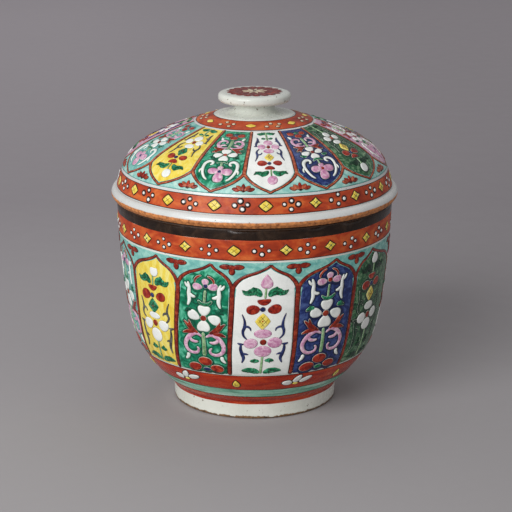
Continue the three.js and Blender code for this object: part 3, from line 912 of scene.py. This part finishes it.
def tracery(arcade, panels):
    """The red lines: a post between each two panels, which forks over them into pointed arches."""
    heights = np.array([arcade.spring + rise for _, rise in arcade.rise])
    posts = np.linspace(0, arcade.spring, 8)
    half_arch = [arcade.arch * (0.8 + 0.6 * share**3) for share, _ in arcade.rise]
    for panel in panels:
        left, right = (list(zip(panel.side_line(side, heights), heights)) for side in (-1, 1))
        path = left + right[::-1][1:]
        red_line(arcade, panel.patch, path, half_arch + half_arch[::-1][1:])
        post = list(zip(panel.side_line(1, posts), posts))
        post.append((post[-1][0], arcade.spring + 2.5))
        red_line(arcade, panel.patch, post, np.interp(range(9), [0, 8], arcade.post))


def lotus(patch):
    """The lid's small flower between two arches: five petals of a lotus on its side."""
    petals = ((-4.9, 0.6, pi - 0.2), (-2.6, 1.5, 2.5), (0, 1.9, pi / 2), (2.6, 1.5, 0.65),
              (4.9, 0.6, 0.2))
    for k, (u, v, angle) in enumerate(petals):
        look = ("scarlet", "rust", "line_red")[(k + (rng.random() < 0.5)) % 3]
        outlined("lid", look, patch, (u, -v), petal(2.5, 1.25, -0.1), 0.2, -angle)
    outlined("lid", "ink", patch, (0, 0.4), oval(1.1, 0.7, 14), 0.1)


def trefoil(patch):
    """The body's small red flower between two arches: two long lobes and a drop."""
    for side, turn in ((-1, pi), (1, 0)):
        outlined("jar", "maroon", patch, (side * 4.5 + jitter(0.3), 1.2), petal(3.8, 1.6, -0.05), 0.4,
                 turn + jitter(0.06))
    outlined("jar", "maroon", patch, (jitter(0.3), 1), oval(2.2, 1.5, 16), 0.3)
    outlined("jar", "maroon", patch, (jitter(0.3), -1.9), oval(1.9, 2.3, 16), 0.4)


# Motifs.

class Brush:
    """Paints one panel's motif. Each mark gets an outline, and on a glassy ground a darker pool
    round it, and the hand is a little unsteady. A stroke goes through points that each have a
    width."""

    def __init__(self, body, patch, scheme):
        self.body, self.patch, self.scheme = body, patch, scheme
        self.leaf = scheme.pool if scheme.ground in ("green", "dark_green") else "leaf"

    def coat(self, look):
        return coat(self.body, "dabs", look)

    def dab(self, look, u, v, shape, turn=0, top=DAB, base=GROUND - 0.04, edged=True, dish=0):
        edge, grow, pool = self.scheme[-3:]
        centre = (u + jitter(0.3), v + jitter(0.3))
        turn, size = turn + jitter(0.07), 1 + jitter(0.05)
        dab(self.coat(look), self.patch, centre, shape, top, base, turn, size, dish=dish)
        if edged:
            dab(self.coat(edge), self.patch, centre, shape, OUTLINE, base, turn, size, grow, plain=True)
        if edged and pool:
            dab(self.coat(pool), self.patch, (centre[0] + 0.2, centre[1] - 0.4), shape, POOL, base - 0.1,
                turn, size, 2.3, plain=True)

    def stroke(self, look, mark, top=DAB - 0.06, base=GROUND - 0.04, edged=True):
        edge, grow, pool = self.scheme[-3:]
        shift = (jitter(0.25), jitter(0.25))
        path = [(u + shift[0] + jitter(0.12), v + shift[1] + jitter(0.12)) for u, v, _ in mark]
        widths = [width for _, _, width in mark]
        stroke(self.coat(look), self.patch, path, widths, top, base)
        if edged:
            stroke(self.coat(edge), self.patch, path, widths, OUTLINE - 0.02, base, grow, plain=True)
        if edged and pool:
            stroke(self.coat(pool), self.patch, path, widths, POOL, base - 0.1, 1.7, plain=True)

    def pair(self, look, *marks, **how):
        """Strokes, each with its mirror image."""
        for mark in marks:
            self.stroke(look, [(-u, v, width) for u, v, width in mark], **how)
            self.stroke(look, mark, **how)


def leaf_pair(b, *leaf):
    """Two leaves, each with a dark vein and its branches."""
    b.pair(b.leaf, leaf, edged=b.leaf == "leaf")
    b.pair("dark_pool", [(u, v, 0.45) for u, v, _ in leaf[1:]], top=VEIN, base=DAB - 0.25, edged=False)
    for u, v, w in leaf[1:-1]:
        for h in (-w, w):
            b.pair(b.leaf, [(u - 0.1 * w, v + 0.2 * h, 0.5 * w), (u + 0.25 * w, v + 0.4 * h, 0.36 * w)],
                   edged=False)
            branch = [(u, v, 0.35), (u + 0.25 * w, v + 0.2 * h, 0.35), (u + 0.4 * w, v + 0.36 * h, 0.35)]
            b.pair("dark_pool", branch, top=VEIN, base=DAB - 0.3, edged=False)


def bloom(b, v, *petals):
    """A four-petal flower with a red heart."""
    for u, rise, shape, turn in petals:
        b.dab(b.scheme.flower, u, v + rise, shape, turn, dish=0.3)
    b.dab("maroon", 0, v, oval(2.4, 2.2, 18), top=VEIN, base=GROUND)


def latticed_lozenge(b, v):
    """A lozenge crossed by two pairs of fine lines, with a red dot in its middle."""
    wide, tall, middle, reach = 5.4, 6.1, -0.8, 0.42
    b.dab(b.scheme.lozenge, middle, v, rhomb(wide, tall, 1.18), dish=0.1)
    for side in (-1, 1):
        for shift in (-0.17, 0.17):
            across, up = middle + shift * wide, v - side * shift * tall
            b.stroke("ink", [(across + end * reach * wide, up + end * side * reach * tall, 0.34)
                             for end in (-1, 1)], top=VEIN, base=DAB - 0.2, edged=False)
    b.dab("scarlet", middle, v, oval(0.6, 0.6, 12), top=VEIN + 0.06, base=DAB - 0.1, edged=False)


def bud_motif(b):
    """The first motif: leaves and a stem under a four-petal flower, a lozenge, a red trefoil and
    a bud between two leaves, with forked tendrils at both sides."""
    b.stroke("stem", [(-0.6, 2, 1.7), (-0.2, 9, 1.6), (0.2, 17, 1.4)])
    leaf_pair(b, (1.6, 2.6, 1.8), (5.2, 4.4, 4.9), (10, 5.2, 4.6), (15, 4.6, 1.6))
    leaf_pair(b, (1.9, 12.9, 1.6), (5.2, 13.2, 3.6), (8.6, 12.9, 1.4))
    bloom(b, 27.4, (-0.2, 6.6, oval(6, 3.1, 28), 0), (0, -6.9, oval(6, 4.1, 28), 0),
          (-8.4, -0.8, oval(5.1, 3.8, 28), 0.05), (8.4, -0.2, oval(5, 3.8, 28), 0))
    latticed_lozenge(b, 43.2)
    b.dab("scarlet", -0.6, 57.4, half_round(4.7, 2.9), dish=0.1)
    b.dab("scarlet", -7.8, 51.2, petal(4.9, 3.6, 0.12), pi + 0.12, dish=0.15)
    b.dab("scarlet", 6.8, 51.6, petal(4.6, 3.3, 0.12), 0.12, dish=0.15)
    b.dab("cobalt", -0.9, 51.6, oval(1.9, 1.8, 18), top=VEIN)
    b.stroke("stem", [(0.1, 59.6, 1.5), (0.2, 63, 1.4), (0.3, 67.4, 1.2)])
    leaf_pair(b, (2.4, 60.9, 2.2), (4.6, 63.6, 5.2), (7.2, 64.6, 5.8), (10, 63.6, 4.6), (12.8, 63.3, 3.4),
              (15.2, 65.2, 0.8))
    bud = drop(4, 5) if b.body == "jar" else oval(4.6, 4.7)
    b.dab(b.scheme.bud, 1.2, 71.4, bud, dish=0.15)
    b.pair(b.scheme.tendril,
           [(14.8, 48.3, 0.5), (13.2, 43.5, 1.5), (12.9, 39.2, 2.3), (14.1, 35.8, 2), (13.6, 32.6, 1.5),
            (11.2, 30, 0.8)],
           [(13.1, 38.8, 2), (11, 39, 1.6), (9.1, 37.8, 1.3), (8.6, 36, 0.6)],
           [(18, 26.6, 1), (16, 25.9, 1.9), (13.6, 26, 1)],
           [(15.3, 25.6, 1.4), (15.4, 22, 2.1), (14.2, 18.4, 2.6), (13.4, 15.2, 2.2), (14.6, 11.4, 0.7)],
           [(14, 19, 2.1), (12.2, 18.8, 1.6), (10.2, 18.3, 0.8)])


def curled_tendrils(b):
    """White scrolls beside the pink flower, as on the lid."""
    b.pair(b.scheme.curl,
           [(8.4, 77.4, 0.8), (11.4, 75.2, 1.8), (14.4, 70.4, 2.4), (16, 64.4, 2.8), (15.4, 59, 3),
            (12.2, 55.8, 2.8), (8.8, 56.8, 2.4), (8.4, 59.6, 2), (10.2, 60.8, 1)],
           [(15.8, 66, 2), (17.6, 68.6, 1.6), (17.4, 71, 0.7)])


def forked_tendrils(b):
    """White forked strokes beside the pink flower, as on the body."""
    b.pair(b.scheme.curl,
           [(12.6, 70.6, 1), (11.4, 66.8, 2.2), (11.6, 62.4, 2.8), (11.4, 57.4, 2.5), (12.8, 53.4, 1)],
           [(11.2, 62.2, 2.4), (9.2, 60.6, 2.2), (6.8, 60.4, 1.4)],
           [(11.6, 67.2, 1.9), (13.4, 68, 1.9), (14.8, 70.2, 0.9)])


def pink_flower(b, upper, side_size):
    """The pink flower at the top of the second motif, its upper and lower petals as given."""
    for v, shape, turn in upper:
        b.dab("pink", 0.9, v, shape, turn * pi / 2, dish=0.25)
    if b.body == "jar":
        b.pair("scarlet", [(2.3, 76.4, 0.8), (4.8, 75.4, 1.5), (6.9, 73.2, 1.6), (7, 70.8, 0.8)])
    b.dab("pink", -4.8, 68.2, petal(3.7, 2.3, 0.25) * side_size, pi, dish=0.25)
    b.dab("pink", 6.6, 68.4, petal(3.9, 2.5, 0.25) * side_size, 0.05, dish=0.25)
    heart = "scarlet" if b.scheme.eye == "leaf" else "cobalt"
    b.dab(heart, 0.9, 68.8, oval(1.8, 1.7, 16), top=VEIN, base=GROUND)


def scroll_motif(b):
    """The second motif: a red trefoil and scrolls under a white four-petal flower, and a pink
    flower between white tendrils."""
    scroll = b.scheme.scroll
    b.dab("scarlet", 0.2, 10.8, petal(3.7, 6, 0), pi / 2, dish=0.15)
    b.dab("scarlet", -9.6, 4.9, petal(5.9, 3.6, 0.05), pi + 0.1, dish=0.15)
    b.dab("scarlet", 10, 5.2, petal(5.6, 3.3, 0.05), -0.05, dish=0.15)
    b.dab(b.scheme.eye, 0.8, 3.9, oval(3.4, 1.7, 20))
    b.stroke("stem", [(0.2, 15.6, 2.6), (0.2, 24, 2.4), (-0.4, 34, 2)])
    b.pair(scroll,
           [(1.8, 30.6, 1), (6.6, 32.6, 2.4), (12.4, 29.8, 3.2), (15.9, 24.4, 2.9), (15, 19.4, 2.6),
            (10.8, 16.9, 2.3), (6.2, 17.6, 1.9), (4.8, 20.3, 1.5), (6.2, 22, 0.9)],
           [(11.8, 28.6, 2.6), (10.2, 26.8, 2.4), (7.4, 26.2, 1.9), (5, 26.5, 1)])
    b.pair(b.scheme.curl, [(14.4, 16, 2.4), (15, 13.2, 2.5), (17.4, 10.8, 0.9)])
    b.pair("maroon",
           [(4.6, 33, 1.8), (10.2, 36, 4.4), (16.4, 41.4, 0.8)],
           [(7.2, 33.2, 2), (12.6, 33.4, 3.4), (17.6, 32, 0.8)],
           [(8.6, 34.4, 1.8), (11.2, 38.4, 2.8), (12.4, 42.4, 0.7)])
    b.pair("ink", [(6.4, 33.8, 0.34), (10.4, 36, 0.34), (14.6, 39.4, 0.34)], top=VEIN, base=DAB - 0.2,
           edged=False)
    bloom(b, 45.1, (0.2, 5.9, petal(4.3, 4.7, 0.3, 0.35), pi / 2),
          (-0.2, -6.3, petal(4.9, 5.2, 0.3, 0.22), -pi / 2),
          (-7.9, 1, petal(4.9, 3.4, 0.32), pi - 0.3),
          (8.1, -0.8, petal(5.1, 3.5, 0.32), -0.32))
    leaf_pair(b, (9.2, 49.4, 2.4), (12, 50.2, 3.7), (15.4, 48.6, 1.2))
    b.stroke("stem", [(0.3, 56.5, 1.4), (0.5, 61, 1.4), (0.8, 65.5, 1.4)])
    b.stroke("leaf", [(-4.6, 57.9, 1), (-2.2, 56, 2.2), (0.8, 55.4, 2.6), (3.6, 56, 2.2), (6, 58.1, 1)])
    if b.body == "jar":
        pink_flower(b, [(71.8, petal(2.3, 2.5, 0.2), 1)], 1)
        forked_tendrils(b)
    else:
        pink_flower(b, [(64.6, petal(2.4, 2.6, 0.2), -1), (74.6, petal(4.9, 4.2, 0.2), 1)], 1.5)
        curled_tendrils(b)


# The grounds in their order round the jar, with what suits each: the flower, the bud, the lozenge,
# the side tendrils, the scrolls, the curls, the eye at the foot, the outline of a dab and how wide
# it is, and the darker pool round it.
Scheme = namedtuple("Scheme", "ground flower bud lozenge tendril scroll curl eye edge grow pool")
SCHEMES = [Scheme(*looks.split(), grow, pool) for looks, grow, pool in (
    ("white pink pink yellow cobalt pink cobalt cobalt shade", 0.14, None),
    ("blue white white yellow white pink white leaf bone", 0.26, "blue_pool"),
    ("dark_green white white yellow dark_pool pink white cobalt bone", 0.24, "dark_pool"),
    ("pink white white yellow cobalt white white cobalt ink", 0.18, None),
    ("turquoise white pink yellow cobalt pink white cobalt bone", 0.26, "sea_pool"),
    ("yellow white white leaf grey pink white cobalt ink", 0.18, None),
    ("green white pink yellow cobalt pink white cobalt bone", 0.26, "green_pool"),
)]


def paint(panel):
    """A panel's ground and motif. Neighbours take the two motifs in turn."""
    scheme = SCHEMES[panel.index % len(SCHEMES)]
    panel_ground(panel, scheme.ground)
    motif, middle = (scroll_motif, 0) if panel.index % 2 else (bud_motif, -0.8)
    motif(Brush(panel.arcade.body, panel.motif_patch(middle), scheme))


def make_arcade(arcade, spandrels, flower, flower_s):
    shifts = [arcade.seen.get(i, (jitter(1.2), jitter(0.6))) for i in range(PANELS)]
    panels = [Panel(arcade, i, shifts) for i in range(PANELS)]
    field = coat(arcade.body, "spandrels", arcade.field, arcade.prefix + "_spandrels")
    band(field, arcade.surface, *spandrels, GROUND - 0.1, 0.1)
    for panel in panels:
        paint(panel)
        between = panel.azimuth + PANEL_TURN / 2 + panel.shifts[1][1] / DRAWN_RADIUS
        flower(Patch(arcade.surface, between, flower_s))
    tracery(arcade, panels)


make_arcade(BODY_ARCADE, spandrels=(94, 118.2), flower=trefoil, flower_s=113.9)
make_arcade(LID_ARCADE, spandrels=(58, 75.5), flower=lotus, flower_s=73.2)


# Rosette.

def make_rosette(scallops=18, middle_petals=9):
    """The flower on the knob's flat top: a scalloped red disc with pale petals in its middle."""
    flat = FlatPatch()
    t = np.arange(scallops * 8) * TAU / (scallops * 8)
    reach = ROSETTE_RADIUS - 2.6 * (1 - np.abs(np.sin(t * scallops / 2)) ** 0.7)
    scalloped = np.stack([reach * np.cos(t), reach * np.sin(t)], -1)
    dab(coat("lid", "rosette", "rosette_red", "knob_rosette"), flat, (0, 0), scalloped, 0.28, 0)

    def petals(look, angles, distance, shape, top, base):
        for a in angles:
            centre = (distance * cos(a), distance * sin(a))
            dab(coat("lid", "rosette", look), flat, centre, shape, top, base, a)

    petals("maroon", (np.arange(scallops) + 0.5) * TAU / scallops, 15.2, petal(2.8, 1.2, -0.1), 0.38, 0.15)
    petals("cream", [k * TAU / middle_petals + jitter(0.06) for k in range(middle_petals)], 5,
           petal(4, 1, -0.15), 0.5, 0.2)
    petals("ink", [0], 0, oval(1.5, 1.5, 16), 0.56, 0.2)


make_rosette()
for made in Coat.made:
    made.build()


# Floor, light and camera.

CAMERA_DISTANCE, CAMERA_HEIGHT = 1.19, 0.431
PITCH = radians(15.5)
FRONT = radians(-4.3)
LENS, SENSOR = 122.77, 36


def around(azimuth, distance, height):
    """A place round the jar, its azimuth in degrees to the right of the camera's side."""
    a = radians(azimuth) + FRONT
    return np.array([distance * sin(a), -distance * cos(a), height])


def add(name, data):
    thing = bpy.data.objects.new(name, data)
    bpy.context.scene.collection.objects.link(thing)
    return thing


def make_floor(radius=9, corners=72):
    around_it = [k * TAU / corners for k in range(corners)]
    mesh = bpy.data.meshes.new("floor")
    mesh.from_pydata([(radius * cos(a), radius * sin(a), 0) for a in around_it], [],
                     [list(range(corners))])
    n = Nodes("studio_floor")
    # Painted light: the floor's colour grows paler towards the back, standing in for the lamps' light
    # falling off there.
    painted_falloff = n.range(n.coordinate("Y"), -0.5, 2.4)
    grain = n.math("ADD", painted_falloff, n.math("MULTIPLY", n.noise(1.3, 2), 0.08))
    tone = n.ramp(grain, (0, colour("#acaaaa")), (0.35, colour("#a49fa3")),
                  (1, colour("#c8c2c7")))
    # Painted shade: the floor's colour is blended darker towards +X, the side away from the key lamp.
    tone = n.blend(n.range(n.coordinate("X"), -0.25, 0.45, 0, 0.3), tone, colour("#7e7a7c"))
    n.shader.inputs["Specular IOR Level"].default_value = 0.2
    mesh.materials.append(n.finish(tone, n.range(n.noise(40, 2), 0.3, 0.7, 0.75, 0.9)))
    add("floor", mesh)


def make_lamp(name, place, size, power, aim=0.1):
    light = bpy.data.lights.new(name, "AREA")
    light.shape, light.size, light.energy = "DISK", size, power
    lamp = add(name, light)
    lamp.location = place
    to_jar = np.array([0, 0, aim]) - place
    lamp.rotation_euler = (acos(-to_jar[2] / np.linalg.norm(to_jar)), 0,
                           atan2(to_jar[1], to_jar[0]) - pi / 2)


def make_world():
    world = bpy.data.worlds.new("studio")
    bpy.context.scene.world = world
    world.use_nodes = True
    back = world.node_tree.nodes["Background"]
    back.inputs["Color"].default_value = colour("#c4c2c4")
    back.inputs["Strength"].default_value = 0.62


def make_camera():
    data = bpy.data.cameras.new("camera")
    data.sensor_width, data.lens, data.clip_end = SENSOR, LENS, 60
    camera = add("camera", data)
    camera.location = around(0, CAMERA_DISTANCE, CAMERA_HEIGHT) + np.array([MM, 0, 0])
    camera.rotation_euler = (pi / 2 - PITCH, 0, FRONT)
    bpy.context.scene.camera = camera


make_floor()
make_lamp("key", around(-35, 1.9, 1.05), 1.5, 36)
make_lamp("fill", around(65, 2.2, 0.8), 1.2, 1.6)
make_lamp("top", around(170, 0.8, 1.9), 1.2, 2.5)
make_world()
make_camera()
bpy.context.scene.view_settings.view_transform = "Standard"
